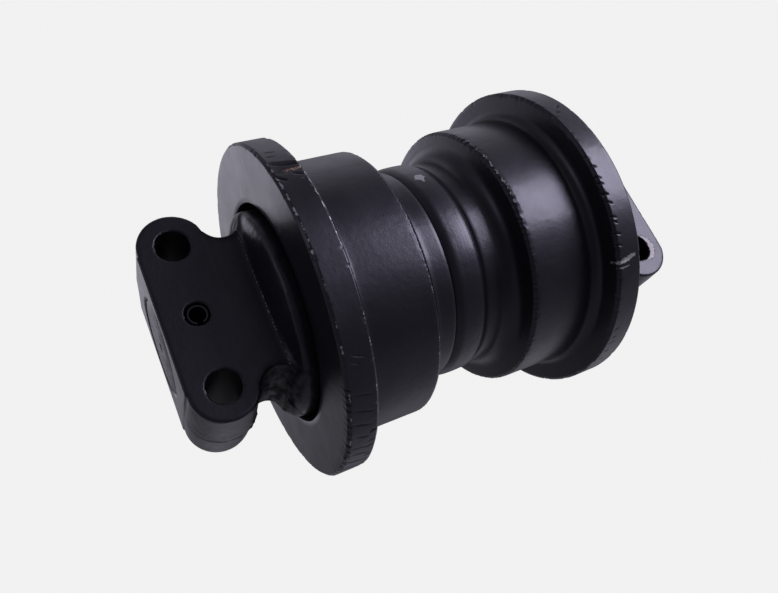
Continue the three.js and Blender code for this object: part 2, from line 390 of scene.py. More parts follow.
def steel(name, colour, roughness, marks=(1, 1, 1)):
    """Bare machined metal with fine tool marks and a little staining."""
    s = Shader(name)
    stain = s.span(s.noise(17, 4), 0.4, 0.8)
    marked = s.noise(0.5, 2, marks)
    dark = tuple(c * 0.62 for c in colour)
    s.bump((marked, 0.012), (s.noise(2.4, 3), 0.006))
    s.set(Base_Color=s.mix(stain, colour, dark), Metallic=1.0)
    s.set(Roughness=s.span(marked, 0.3, 0.7, roughness - 0.07, roughness + 0.1))
    return s.material


def axle_finish():
    """Ground steel in the bearings, black enamel on the ends that stand in the open."""
    s = Shader("axle_finish")
    y = s.add("ShaderNodeSeparateXYZ")
    s.join(s.place, y.inputs[0])
    far = s.math("ABSOLUTE", y.outputs["Y"])
    painted = s.span(far, (AXLE_END - 4.5) * MM, (AXLE_END - 3.5) * MM)
    stain = s.span(s.noise(14, 4), 0.4, 0.8)
    ground = s.mix(stain, (0.46, 0.45, 0.45), (0.30, 0.30, 0.31))
    dust = s.mix(s.span(s.noise(9, 4), 0.4, 0.7), BLACK, BLACK_DUSTY)
    s.bump((s.noise(2.8, 3), 0.05), (s.noise(0.5, 2, (1, 6, 1)), 0.02))
    s.set(Base_Color=s.mix(painted, ground, dust), Metallic=s.blend(painted, 1.0, 0.0))
    s.set(Roughness=s.blend(painted, 0.24, s.span(s.noise(6, 3), 0.3, 0.7, 0.33, 0.46)))
    s.set(Specular_Tint=SATIN_TINT)
    return s.material


def rubber_finish():
    """Black rubber with a pale bloom."""
    s = Shader("seal_rubber_finish")
    bloom = s.span(s.noise(6, 4), 0.4, 0.75)
    s.bump((s.noise(0.7, 3), 0.02), (s.noise(4, 2), 0.04))
    s.set(Base_Color=s.mix(bloom, (0.012, 0.012, 0.012), (0.03, 0.029, 0.028)))
    s.set(Roughness=s.span(s.noise(2, 3), 0.3, 0.7, 0.5, 0.72))
    return s.material


SHELL_PAINT = enamel("shell_enamel", 0.33, 0.075, 0.014)
COLLAR_PAINT = enamel("collar_enamel", 0.35, 0.09, 0.03)
AXLE_METAL = axle_finish()
PIN_METAL = enamel("pin_black", 0.30, 0.02, 0.015)
PLUG_METAL = steel("plug_turned_steel", (0.30, 0.30, 0.31), 0.34, (8, 1, 8))
BRONZE = steel("bush_turned_bronze", (0.62, 0.40, 0.17), 0.3, (1, 9, 1))
SEAL_IRON = steel("seal_chilled_iron", (0.25, 0.25, 0.27), 0.27, (1, 9, 1))
RUBBER = rubber_finish()


# ---- roller shell --------------------------------------------------------------------------
TOE = 0.22  # depth of the crease where the weld meets the waist
HALF_GAP = 0.15  # half the gap between the halves, and between them and the weld
SHELL_COLUMNS, WELD_COLUMNS = 840, 900


def shell_outline():
    """Outline of one half, seen with radius to the right and the outer end up."""
    chamfer_r = RIM_R - RIM_CHAMFER
    fillet_r, wall_top = TREAD_R + TREAD_ROOT, RIM_IN - 0.5
    start, root_r, root_y = HALF_GAP, WELD_ROOT_R - 2 * HALF_GAP, WELD_ROOT_HALF + 2 * HALF_GAP
    outline = line((OIL_R, start), (root_r, start), 4) + line((root_r, start), (root_r, root_y), 3)
    outline += line((root_r, root_y), (WAIST_R - TOE, WELD_HALF + HALF_GAP), 4)
    outline += line((WAIST_R - TOE, WELD_HALF + HALF_GAP), (WAIST_R, WELD_HALF + 1.2), 0.5)
    outline += line((WAIST_R, WELD_HALF + 1.2), (WAIST_R, WAIST_END), 1.4)
    outline += arc((WAIST_R + WAIST_FILLET, WAIST_END), WAIST_FILLET, 180, 90, 14)
    chamfer_y = WAIST_WALL + 0.8
    outline += line((WAIST_R + WAIST_FILLET, WAIST_WALL), (TREAD_R - 1.3, chamfer_y), 1.2)
    outline += line((TREAD_R - 1.3, chamfer_y), (TREAD_R, TREAD_IN), 0.4)
    outline += line((TREAD_R, TREAD_IN), (TREAD_R, TREAD_IN + 2.4), 0.6)
    outline += line((TREAD_R, TREAD_IN + 2.4), (TREAD_R, TREAD_OUT), 2.4)
    outline += arc((fillet_r, TREAD_OUT), TREAD_ROOT, 180, 104, 10)
    outline += line((fillet_r - 1.45, TREAD_OUT + 5.82), (chamfer_r - 0.8, wall_top + 0.3), 1.2)
    outline += line((chamfer_r - 0.8, wall_top + 0.3), (chamfer_r, RIM_IN), 0.5)
    outline += line((chamfer_r, RIM_IN), (RIM_R, RIM_IN + 1.2), 0.5)
    outline += line((RIM_R, RIM_IN + 1.2), (RIM_R, RIM_OUT - RIM_CHAMFER), 0.55)
    outline += line((RIM_R, RIM_OUT - RIM_CHAMFER), (chamfer_r, RIM_OUT), 0.5)
    outline += line((chamfer_r, RIM_OUT), (chamfer_r - 2.4, RIM_OUT), 0.8)
    outline += line((chamfer_r - 2.4, RIM_OUT), (RECESS_R + 0.4, RIM_OUT), 3.2)
    outline += line((RECESS_R + 0.4, RIM_OUT), (RECESS_R, RIM_OUT - 0.4), 0.4)
    corner_r, corner_y = RECESS_R - RECESS_CORNER, RECESS_FLOOR + RECESS_CORNER
    outline += line((RECESS_R, RIM_OUT - 0.4), (RECESS_R, corner_y), 2)
    outline += arc((corner_r, corner_y), RECESS_CORNER, 0, -90, 4)
    outline += line((corner_r, RECESS_FLOOR), (SEAT_R, RECESS_FLOOR), 3)
    bore = [
        (SEAT_R, RECESS_FLOOR), (SEAT_FLOOR_R, SEAT_FLOOR), (BUSH_FLANGE_R, SEAT_FLOOR),
        (BUSH_FLANGE_R, BUSH_FLANGE_Y), (BUSH_SEAT_R, BUSH_FLANGE_Y), (BUSH_SEAT_R, OIL_END),
        (OIL_R, OIL_END), (OIL_R, start),
    ]
    for (here, beyond), step in zip(zip(bore, bore[1:]), (4, 4, 4, 4, 8, 4, 5)):
        outline += line(here, beyond, step)
    return outline


# Handling damage. Each tear or nick: angle, middle and half-length along Y from the shell's
# middle outward, half-width round the rim, depth, and slant in millimetres round per millimetre.
LEFT_TEARS = [
    (-24.8, 82.4, 7.8, 1.00, 1.3, 0.22),
    (-21.0, 80.8, 4.0, 0.45, 0.6, -0.10),
    (-18.9, 78.4, 3.2, 0.60, 0.8, 0.30),
    (-18.3, 88.0, 2.5, 0.65, 0.9, 0.75),
    (-29.5, 86.0, 2.6, 0.40, 0.3, 0.10),
    (-32.5, 84.5, 3.0, 0.40, 0.3, 0.15),
    (37.6, 82.5, 3.8, 0.45, 0.5, 0.30),
    (39.4, 85.0, 2.6, 0.40, 0.5, 0.12),
]
RIGHT_TEARS = [
    (-24.5, 84.0, 2.0, 0.60, 0.55, 0.40),
    (-21.5, 80.5, 1.5, 0.70, 0.45, -0.30),
    (36.4, 79.0, 5.2, 0.45, 0.30, 0.16),
    (38.0, 76.8, 2.0, 0.40, 0.30, 0.05),
]
# Rows of short nicks: first and last angle, count, seed, then as above without a half-width.
RIGHT_ROWS = [(62, 118, 14, 9, 79, 2.6, 0.25, 0.1), (4, 31, 9, 12, 76.2, 2.2, 0.8, -0.45)]
LEFT_ROWS = [
    (50.5, 87, 8, 3, 84.3, 6.2, 0.42, 0.32),
    (46, 92, 17, 4, 90.6, 1.5, 0.45, 0.15),
    (65, 96, 8, 6, 78.5, 2.4, 0.45, -0.35),
]
# Marks in the enamel only, so with a depth of 1: rust, a scratch, and two scuffs.
LEFT_SMEAR = (-21.5, 79.4, 6.4, 1.0, 1, -0.06)
LEFT_SCRATCH = (-16.8, 78.4, 1.9, 0.4, 1, 0.55)
RIGHT_SCUFFS = [(36.2, 80.5, 7.5, 1.5, 1, 0.22), (38.6, 78.5, 4.5, 0.5, 1, 0.10)]
STRUCK_ANGLE, STRUCK_Y = -22.6, 81.5  # middle of the struck patch on the left rim


def row_of_nicks(first, last, count, seed, middle, half_length, depth, slant):
    """Short nicks across a rim between two angles, nearly parallel, irregular in length."""
    draw = np.random.default_rng(seed)
    nicks = []
    for angle in np.linspace(first, last, count):
        nicks.append((
            angle + draw.uniform(-0.9, 0.9), middle + draw.uniform(-0.25, 0.25) * half_length,
            half_length * draw.uniform(0.6, 1.1), draw.uniform(0.42, 0.55),
            depth * draw.uniform(0.6, 1.1), slant + draw.uniform(-0.08, 0.08),
        ))
    return nicks


def turn_gap(angle, middle):
    """Signed difference of two angles, in degrees from -180 to 180."""
    return (angle - middle + 180) % 360 - 180


def groove(r, out, angle, place):
    """How deep one tear cuts, from 0 to 1, tapering to both ends along a ragged line."""
    middle, y, half_length, half_width, _, slant = place
    along = out - y
    ragged = 0.35 * noise(out, 0 * out, 0 * out + middle, 2.6, 5)
    across = turn_gap(angle, middle) * math.pi / 180 * r + slant * along + ragged
    taper = np.sqrt(np.maximum(1 - (along / half_length) ** 2, 0))
    return np.exp(-((across / (half_width * (0.4 + 0.6 * taper))) ** 2)) * taper


def edge_nicks(x, z, size, seed, rarity):
    """Bites along a round edge, from 0 to 1, the same all across the edge."""
    return step_up(rarity, rarity + 0.3, noise(x, 0 * x, z, size, seed))


def closer_in_front(angle):
    """Moves evenly spaced angles so that they are closest where the rims are most damaged."""
    return angle + 20 * np.sin(np.radians(angle + 155))


def rim_damage(side, seed, r, out, angle, place):
    """How far tears and the struck patch cut into a rim, with the layers that they leave."""
    rows = [row_of_nicks(*row) for row in (RIGHT_ROWS if side > 0 else LEFT_ROWS)]
    rows.append(row_of_nicks(125, 290, 13 + side, seed, 83, 3.4, 0.3, 0.2))
    tears = sum(rows, RIGHT_TEARS if side > 0 else LEFT_TEARS)
    loss, bare, rust, pit = (np.zeros_like(r) for _ in range(4))
    near_rim = r > RIM_R - 6

    def mark(tear):
        """One groove's depth, worked out only near the rim."""
        depth = np.zeros_like(r)
        depth[near_rim] = groove(r[near_rim], out[near_rim], angle[near_rim], tear)
        return depth

    for tear in tears:
        depth, deepest = mark(tear), tear[4]
        loss += deepest * depth * step_up(RIM_R - 4, RIM_R - 0.6, r)
        pit = np.maximum(pit, depth * min(1, deepest / 0.45))
    if side > 0:
        for scuff in RIGHT_SCUFFS:
            bare += 1.1 * mark(scuff)
        return loss, bare, rust, pit
    # the scuffed patch where the left rim has been struck, with a smear of rust across it
    patch = near(turn_gap(angle, STRUCK_ANGLE), 0, 2.6, 4) * near(out, STRUCK_Y, 7.5, 4)
    patch = patch * step_up(RIM_R - 1.7, RIM_R - 0.4, r)
    loss += patch * (0.12 + 0.16 * np.abs(rough(*place, 2.4, 8)))
    rust = mark(LEFT_SMEAR) * (1.1 + 0.5 * noise(*place, 1.8, 17))
    pit = np.maximum(pit, 0.55 * patch) * (1 - 0.7 * rust)
    bare += 0.5 * mark(LEFT_SCRATCH)
    return loss, bare, rust, pit


def edge_wear(side, seed, r, out, angle, x, z):
    """Enamel rubbed through in dashes along the edges of the rim and of the tread."""
    dashes = step_up(0.15, 0.45, noise(x, 0 * x, z, 3.4, seed + 12))
    wear = step_up(0.1, 0.7, noise(x, 0 * x, z, 46, seed + 13) + 0.45)
    thin_in = near(out, RIM_IN + 1.0, 0.45) * (r > RIM_R - 0.9)
    thin_out = near(out, RIM_OUT - RIM_CHAMFER, 0.45) * (r > RIM_R - 0.9)
    thin_tread = near(out, TREAD_IN, 0.5) * (np.abs(r - TREAD_R) < 0.5)
    worn = 0.7 * dashes * wear * (thin_in + thin_out + 0.75 * thin_tread)
    struck = near(turn_gap(angle, -6), 0, 24, 4) * (thin_tread if side > 0 else thin_out + thin_in)
    return worn + 0.9 * struck * step_up(-0.2, 0.1, noise(x, 0 * x, z, 2.0, seed + 14))


def shell_half(side, name):
    """One forged half with its rim, tread and waist worn as the real ones are."""
    outline = shell_outline()
    r, y, angle = (a.copy() for a in turned_grid(outline, SHELL_COLUMNS, side))
    angle = closer_in_front(angle)
    out = side * y
    x, _, z = np.moveaxis(turned_points(r, y, angle).reshape(*r.shape, 3), -1, 0)
    seed = 40 if side > 0 else 70

    skin = (r > WAIST_R - 0.5) & (out > WELD_HALF) & (out < RIM_OUT + 1)
    dr = skin * 0.05 * rough(x, y, z, 11, seed)
    dr -= step_up(RIM_R - 1.7, RIM_R - 0.4, r) * 0.12 * (1 + noise(x, y, z, 30, seed + 3))
    loss, bare, rust, pit = rim_damage(side, seed, r, out, angle, (x, y, z))
    dr -= loss

    # bites out of both edges of the rim and out of the tread's inner edge
    outer_edge = near(out, RIM_OUT, 1.5) * (r > RIM_R - 3)
    inner_edge = near(out, RIM_IN, 1.6) * (r > RIM_R - 3)
    dr -= 0.45 * outer_edge * edge_nicks(x, z, 2.6, seed + 5, 0.42)
    dr -= 0.5 * inner_edge * edge_nicks(x, z, 2.2, seed + 6, 0.30)
    tread_edge = near(out, TREAD_IN, 1.4) * (np.abs(r - TREAD_R) < 2.2)
    turns = np.sin(np.radians(angle) * 150 + 5 * noise(x, 0 * x, z, 8, seed + 7))
    teeth = turns + 0.9 * noise(x, 0 * x, z, 2.4, seed + 8)
    teeth = teeth * (0.35 + 0.65 * near(turn_gap(angle, -15), 0, 30))
    strength = 0.55 if side > 0 else 0.22
    dy = -strength * tread_edge * teeth
    dr -= 0.7 * strength * tread_edge * (0.5 + 0.5 * noise(x, 0 * x, z, 1.9, seed + 9))
    # dents and dimples that the highlight on the tread shows
    tread = step_up(TREAD_IN + 1, TREAD_IN + 5, out) * (np.abs(r - TREAD_R) < 0.6)
    dr -= tread * 0.07 * step_up(0.35, 0.9, noise(x, y, z, 4.5, seed + 11))

    bare += edge_wear(side, seed, r, out, angle, x, z)
    pit = np.maximum(pit, (r < RECESS_R + 0.3) & (out > RECESS_FLOOR - 1) & (out < RIM_OUT - 0.2))
    points = turned_points(np.minimum(r + dr, RIM_R), y + side * dy, angle)
    faces = ring_faces(len(outline), SHELL_COLUMNS, side)
    layers = {"bare": np.clip(bare, 0, 1), "rust": np.clip(rust, 0, 1), "pit": pit}
    layers = {key: value.ravel() for key, value in layers.items()}
    return piece(name, points, faces, SHELL_PAINT, layers, crease=60)


CHIP_Y, CHIP_ANGLE = -0.5, -29.0  # middle of the chip of paint


def weld_bead(name):
    """The ring of weld that joins the halves: crowned, with turning lines and a chip of paint."""
    w, root = WELD_HALF, WAIST_R - TOE
    foot, deep = WELD_ROOT_HALF, WELD_ROOT_R
    outline = line((deep, -foot), (root - 0.5, -w), 4)
    outline += line((root - 0.5, -w), (root, -w + 0.3), 0.3)
    crown = 26
    for i in range(crown):
        t = -1 + 2 * i / (crown - 1)
        outline.append((root + (WELD_R - root) * (1 - t**4), t * (w - 0.3)))
    outline += line((root, w - 0.3), (root - 0.5, w), 0.3)[1:]
    outline += line((root - 0.5, w), (deep, foot), 4) + line((deep, foot), (deep, -foot), 3)
    r, y, angle = (a.copy() for a in turned_grid(outline, WELD_COLUMNS))
    x, _, z = np.moveaxis(turned_points(r, y, angle).reshape(*r.shape, 3), -1, 0)
    face = step_up(root - 0.4, root + 0.3, r)
    turning = 0.045 * noise(0 * y, y, 0 * y, 1.6, 21) + 0.03 * noise(0 * y, y, 0 * y, 0.7, 22)
    r = np.minimum(r + face * (turning + 0.06 * rough(x, y, z, 7, 23) - 0.08), WELD_R)
    chip_at = turned_points(np.array([WELD_R]), np.array([CHIP_Y]), np.array([CHIP_ANGLE]))[0]
    away = np.sqrt((x - chip_at[0]) ** 2 + ((y - chip_at[1]) * 1.3) ** 2 + (z - chip_at[2]) ** 2)
    chip = 1 - step_up(3.2, 3.9, away + 1.3 * rough(x, y, z, 2.0, 24))
    layers = {"bare": (face * chip).ravel(), "rust": np.zeros(r.size)}
    faces = ring_faces(len(outline), WELD_COLUMNS)
    return piece(name, turned_points(r, y, angle), faces, SHELL_PAINT, layers, crease=50)


# ---- end collars ---------------------------------------------------------------------------
def blend_max(a, b, radius):
    """The larger of two distances, with the corner between them rounded."""
    h = np.maximum(radius - np.abs(a - b), 0) / radius
    return np.maximum(a, b) + h * h * radius / 4


def blend_min(a, b, radius):
    """The smaller of two distances, with the corner between them filled."""
    return -blend_max(-a, -b, radius)


DRAFT = math.tan(math.radians(2.0))
FORGED_EDGE, NECK_SWEEP = 2.2, 4.0
DOME_R, DOME_DROP = 30.0, 0.0055  # the housing's outer face is flat to here, then falls away
MILLED = 0.7  # stock taken off the forging on its flat faces
GRAIN = 0.45  # the skin's grain is longer along Z, the way the forging left its dies
FULLER = 2.0  # how much wider the right-hand forging came out than the left-hand one


def collar_plan(x, y):
    """Distance to the block's outline from above: two lobes, the bar between, and the neck."""
    far_x = np.abs(x)
    lobe = np.hypot(far_x - BOLT_X, y - BOLT_Y) - LOBE_R
    bar = np.maximum(far_x - BOLT_X, np.maximum(BAR_START - y, y - COLLAR_END - MILLED))
    neck = np.maximum(far_x - NOTCH_X + 1.2, np.maximum(NECK_START - y, y - NECK_STOP))
    notch = np.hypot(far_x - NOTCH_X, y - NOTCH_Y) - NOTCH_R
    plan = np.minimum(np.minimum(lobe, bar), neck)
    return blend_max(plan, -notch, 1.5)


def collar_field(x, y, z, side):
    """Distance to a collar's surface, negative inside, for the collar at +Y. The side only
    picks its own roughness, so that the two forgings aren't twins."""
    seed = 90 if side > 0 else 120
    r = np.hypot(x, z)
    plan = collar_plan(x, y) + DRAFT * np.abs(z - PARTING_Z) - FULLER * (side > 0)
    block = blend_max(plan, z - COLLAR_TOP - MILLED, FORGED_EDGE)
    block = blend_max(block, COLLAR_BOTTOM - MILLED - z, FORGED_EDGE)
    face = y - NECK_Y + DOME_DROP * np.maximum(r - DOME_R, 0) ** 2
    disc = blend_max(r - DISC_R, face, 2.8)
    disc = blend_max(disc, DISC_MOUTH - y, 1.2)
    forged = blend_min(block, disc, NECK_SWEEP)

    # forging skin, with the flash line ground off unevenly, rougher beside the notches
    milled = np.minimum(np.abs(z - COLLAR_TOP), np.abs(y - COLLAR_END))
    milled = np.minimum(milled, np.abs(z - COLLAR_BOTTOM))
    raw = step_up(0.9, 2.6, milled) * step_up(DISC_MOUTH + 3, DISC_MOUTH + 7, y)
    drawn = GRAIN * z
    skin = 0.16 * rough(x, y, drawn, 6.5, seed) + 0.07 * noise(x, y, drawn, 1.5, seed + 5)
    flash = near(z, PARTING_Z, 0.8)
    flash = flash * (0.22 + 0.55 * step_up(0.1, 0.8, rough(x, y, z, 5, seed + 7)))
    rag = near(np.abs(x), 54.5, 6) * near(y, 120.5, 6) * near(z, PARTING_Z + 5, 8)
    rag = rag * np.abs(rough(x, y, z, 3.2, seed + 9))
    cast = near(np.hypot(np.abs(x) - NOTCH_X, y - NOTCH_Y), 0, NOTCH_R + 4, 6)
    skin = skin * (1 - 0.3 * cast)
    forged = forged - raw * (skin + flash + 1.5 * rag)

    # milled faces
    solid = blend_max(forged, np.minimum(z - COLLAR_TOP, y - NECK_Y), 0.7)
    solid = blend_max(solid, np.minimum(COLLAR_BOTTOM - z, y - NECK_Y), 0.9)
    solid = blend_max(solid, y - COLLAR_END, 0.6)
    # hub, seal cavity and bore
    hub = np.maximum(np.maximum(r - HUB_R, HUB_START - y), y - CAVITY_FLOOR - 2)
    cavity = np.maximum(r - CAVITY_R, y - CAVITY_FLOOR)
    solid = np.minimum(blend_max(solid, -cavity, 0.8), blend_max(hub, HUB_START - y, 0.8))
    bore = BORE_R + np.maximum(y - COLLAR_END + 1.0, 0)
    solid = blend_max(solid, bore - r, 0.5)
    # bolt holes and the lock pin's hole, each with a broken edge
    broken = np.maximum(z - COLLAR_TOP, COLLAR_BOTTOM - z)
    bolt = BOLT_R + np.maximum(broken + 0.35, 0)
    solid = blend_max(solid, bolt - np.hypot(np.abs(x) - BOLT_X, y - BOLT_Y), 0.6)
    pin = PIN_HOLE_R + np.maximum(z - COLLAR_TOP + 0.4, 0)
    pin_hole = np.maximum(np.hypot(x, y - BOLT_Y) - pin, COLLAR_BOTTOM + 4 - z)
    return blend_max(solid, -pin_hole, 0.5)


CELL_CORNERS = [(i, j, k) for i in (0, 1) for j in (0, 1) for k in (0, 1)]
CELL_EDGES = [
    (a, b) for a in range(8) for b in range(a + 1, 8)
    if sum(abs(p - q) for p, q in zip(CELL_CORNERS[a], CELL_CORNERS[b])) == 1
]


def skin_points(values, mixed, axes):
    """One point in each cell that the surface crosses: the mean of its edges' crossings."""
    cells = np.argwhere(mixed)
    at = [tuple((cells + c).T) for c in CELL_CORNERS]
    depth = np.stack([values[a] for a in at], 1)
    place = np.stack([np.stack([ax[i] for ax, i in zip(axes, a)], -1) for a in at], 1)
    total, count = np.zeros((len(cells), 3)), np.zeros((len(cells), 1))
    for a, b in CELL_EDGES:
        crossed = ((depth[:, a] < 0) != (depth[:, b] < 0))[:, None]
        span = depth[:, a] - depth[:, b]
        t = (depth[:, a] / np.where(span == 0, 1, span))[:, None]
        total += crossed * (place[:, a] + t * (place[:, b] - place[:, a]))
        count += crossed
    return total / count


def skin_faces(inside, index):
    """A quad across each grid edge that goes from inside to outside."""
    faces = []
    for axis in range(3):
        u, v = (axis + 1) % 3, (axis + 2) % 3
        here = np.moveaxis(inside, (axis, u, v), (0, 1, 2))
        cell = np.moveaxis(index, (axis, u, v), (0, 1, 2))
        leaves = here[:-1, 1:-1, 1:-1] & ~here[1:, 1:-1, 1:-1]
        enters = ~here[:-1, 1:-1, 1:-1] & here[1:, 1:-1, 1:-1]
        around = [cell[:, :-1, :-1], cell[:, 1:, :-1], cell[:, 1:, 1:], cell[:, :-1, 1:]]
        faces.append(np.stack([c[leaves] for c in around], -1))
        faces.append(np.stack([c[enters] for c in around], -1)[:, ::-1])
    return np.concatenate(faces)


def skin_of(field, low, high, cell):
    """Points and quads of a field's zero surface, settled on to it by Newton steps."""
    axes = [np.arange(a, b + cell, cell) for a, b in zip(low, high)]
    values = field(*np.meshgrid(*axes, indexing="ij"))
    inside = values < 0
    sizes = [n - 1 for n in inside.shape]
    corners = [
        inside[i : i + sizes[0], j : j + sizes[1], k : k + sizes[2]] for i, j, k in CELL_CORNERS
    ]
    mixed = np.any(corners, 0) & ~np.all(corners, 0)
    index = np.full(mixed.shape, -1)
    index[mixed] = np.arange(mixed.sum())
    points = skin_points(values, mixed, axes)
    reach = 0.05
    for _ in range(4):
        x, y, z = points.T
        here = field(x, y, z)
        slope = np.stack([
            field(x + reach, y, z) - field(x - reach, y, z),
            field(x, y + reach, z) - field(x, y - reach, z),
            field(x, y, z + reach) - field(x, y, z - reach),
        ], 1) / (2 * reach)
        move = here[:, None] * slope / np.maximum((slope**2).sum(1), 0.2)[:, None]
        points = points - np.clip(move, -cell / 2, cell / 2)
    return points, skin_faces(inside, index)


RUB_X, RUB_Y, RUB_R = BOLT_X + 1.0, BOLT_Y + 4.4, 8.4  # where paint is rubbed off, right side


def collar_wear(x, y, z, side):
    """A collar's layers, from points of the collar at +Y."""
    # paint rubbed off beside one bolt hole, and thin along the edges of the mounting face
    hole = np.hypot(np.abs(x) - BOLT_X, y - BOLT_Y)
    rubbed = np.hypot(x - RUB_X, y - RUB_Y) + 0.4 * noise(x, y, z, 2.2, 131)
    rubbed = (side > 0) * (np.abs(z - COLLAR_TOP) < 0.8) * (1 - step_up(RUB_R, RUB_R + 0.8, rubbed))
    bare = 0.85 * rubbed * step_up(BOLT_R + 0.7, BOLT_R + 1.3, hole)
    neck = near(y, NECK_Y, 0.45) * (np.abs(z - COLLAR_TOP - 0.2) < 0.9)
    bare = bare + neck * (np.abs(x) < NOTCH_X) * (0.40 + 0.1 * noise(x, y, z, 5, 151))
    corner = near(y, COLLAR_END, 0.8) * near(z, COLLAR_TOP, 0.8)
    bare = bare + 0.7 * corner * step_up(0.25, 0.55, noise(x, 0 * y, z, 3, 141 + side))
    # dull, pitted skin in the notches and the bolt holes
    notch = np.hypot(np.abs(x) - NOTCH_X, y - NOTCH_Y) - NOTCH_R
    grain = rough(x, y, GRAIN * z, 3.0, 161 + side)
    sandy = (0.6 + 0.4 * step_up(-0.25, 0.35, grain)) * near(notch, 0, 3.0)
    inside = 0.75 * (hole < BOLT_R + 0.15) * (np.abs(z) < COLLAR_TOP - 0.8)
    pit = np.maximum(np.maximum(0.9 * sandy, inside), 0.9 * rubbed)
    return {"bare": np.clip(bare, 0, 1), "rust": np.zeros(len(x)), "pit": pit}


def collar(side, name):
    """One forged and milled collar; the left one is the right one's shape turned half round."""
    low = (-BOLT_X - LOBE_R - 3, HUB_START - 2, -DISC_R - 2)
    high = (BOLT_X + LOBE_R + 3, COLLAR_END + 2, DISC_R + 2)
    cell = 0.8
    points, faces = skin_of(lambda x, y, z: collar_field(x, y, z, side), low, high, cell)
    points[:, 1] = np.clip(points[:, 1], HUB_START, COLLAR_END)
    radius = np.hypot(points[:, 0], points[:, 2])
    inward = np.where(points[:, 1] < NECK_Y, np.minimum(1, DISC_R / np.maximum(radius, 1)), 1)
    points[:, [0, 2]] *= inward[:, None]
    layers = collar_wear(*points.T, side)
    if side < 0:
        points[:, :2] *= -1
    return piece(name, points, faces, COLLAR_PAINT, layers, crease=55)


# ---- axle, pins and plug -------------------------------------------------------------------
def axle_piece():
    """The axle with its shoulders, O-ring grooves, centre drillings, oil way and pin holes."""
    half = [
        (AXLE_R, AXLE_SHOULDER - 1.5), (AXLE_R - 1.5, AXLE_SHOULDER), (AXLE_END_R, AXLE_SHOULDER),
        (AXLE_END_R, AXLE_RING_Y - 2), (AXLE_GROOVE_R, AXLE_RING_Y - 2),
        (AXLE_GROOVE_R, AXLE_RING_Y + 2), (AXLE_END_R, AXLE_RING_Y + 2),
        (AXLE_END_R, AXLE_END - 1.5), (AXLE_END_R - 0.5, AXLE_END - 0.4),
        (AXLE_END_R - 1.5, AXLE_END), (6, AXLE_END), (2.6, AXLE_END), (1.6, AXLE_END - 1.6),
        (0.9, AXLE_END - 4),
    ]
    outline = [(r, -y) for r, y in half[::-1]] + half
    middle = [(0, -AXLE_END + 4.4)] + outline + [(0, AXLE_END - 4.4)]
    body = turned_bar("axle_turned", middle, AXLE_METAL)
    cutters = [
        cylinder((OIL_WAY_X, 74, 0), (0, 1, 0), OIL_WAY_R, 156),
        cylinder((OIL_WAY_X, AXLE_END - 6, 0), (0, 1, 0), OIL_MOUTH_R, 14),
        cylinder((24, 0, 0), (1, 0, 0), OIL_CROSS_R, 20),
    ]
    cutters += [cylinder((0, s * BOLT_Y, 0), (0, 0, 1), PIN_HOLE_R, 2 * AXLE_R) for s in (-1, 1)]
    cut(body, cutters)
    return body


def lock_pin(side, name):
    """A rolled spring pin: a C section with chamfered ends, slit towards the far side of X."""
    low, high = COLLAR_BOTTOM + 4.3, COLLAR_TOP - 1.2
    steps = 56
    opening = math.asin(PIN_SLIT / 2 / PIN_R)
    angles = np.linspace(opening, 2 * math.pi - opening, steps)
    section = []
    for inset in (0.9, 0.0):
        outer = [((PIN_R - inset) * math.cos(a), (PIN_R - inset) * math.sin(a)) for a in angles]
        inner = [(PIN_BORE_R * math.cos(a), PIN_BORE_R * math.sin(a)) for a in angles[::-1]]
        section.append(outer + inner)
    levels = [(low, 0), (low + 1.2, 1), (high - 1.2, 1), (high, 0)]
    points = []
    for z, form in levels:
        points += [(-side * px, side * (BOLT_Y - py), z) for px, py in section[form]]
    around = 2 * steps
    faces = []
    for level in range(len(levels) - 1):
        for i in range(around):
            j = (i + 1) % around
            base, above = level * around, (level + 1) * around
            faces.append((base + i, base + j, above + j, above + i))
    top = (len(levels) - 1) * around
    for i in range(steps - 1):
        mate, mate_next = around - 1 - i, around - 2 - i
        faces.append((i, mate, mate_next, i + 1))
        faces.append((top + i, top + i + 1, top + mate_next, top + mate))
    layers = {"bare": np.zeros(len(points)), "rust": np.zeros(len(points))}
    return piece(name, points, faces, PIN_METAL, layers, crease=40)


SOCKET_R = 3.0


def oil_plug(name):
    """A threaded plug with a chamfered head and a hexagon socket."""
    low, high = cad_low("oil_plug")[1], cad_high("oil_plug")[1]
    radius = (cad_high("oil_plug")[2] - cad_low("oil_plug")[2]) / 2
    outline = [(0, low), (radius - 1.2, low), (radius - 0.7, low + 0.8)]
    for y in np.arange(low + 1.2, high - 2, 1.0):
        outline += [(radius, y), (radius - 0.55, y + 0.5)]
    outline += [(radius, high - 1.4), (radius, high - 0.6), (radius - 0.6, high), (0, high)]
    body = turned_bar(name, outline, PLUG_METAL, 96)
    for vertex in body.data.vertices:
        vertex.co.x += OIL_WAY_X * MM
    cut(body, [
        cylinder((OIL_WAY_X, high - 2.9, 0), (0, 1, 0), SOCKET_R, 6, sides=6),
        cylinder((OIL_WAY_X, high - 0.2, 0), (0, 1, 0), SOCKET_R - 0.2, 1.2, end_radius=4.0),
    ])
    return body


# ---- bushes and seals ----------------------------------------------------------------------
def mirrored(outline, y):
    """An outline turned over across y, still anticlockwise."""
    return [(r, 2 * y - a) for r, a in outline[::-1]]


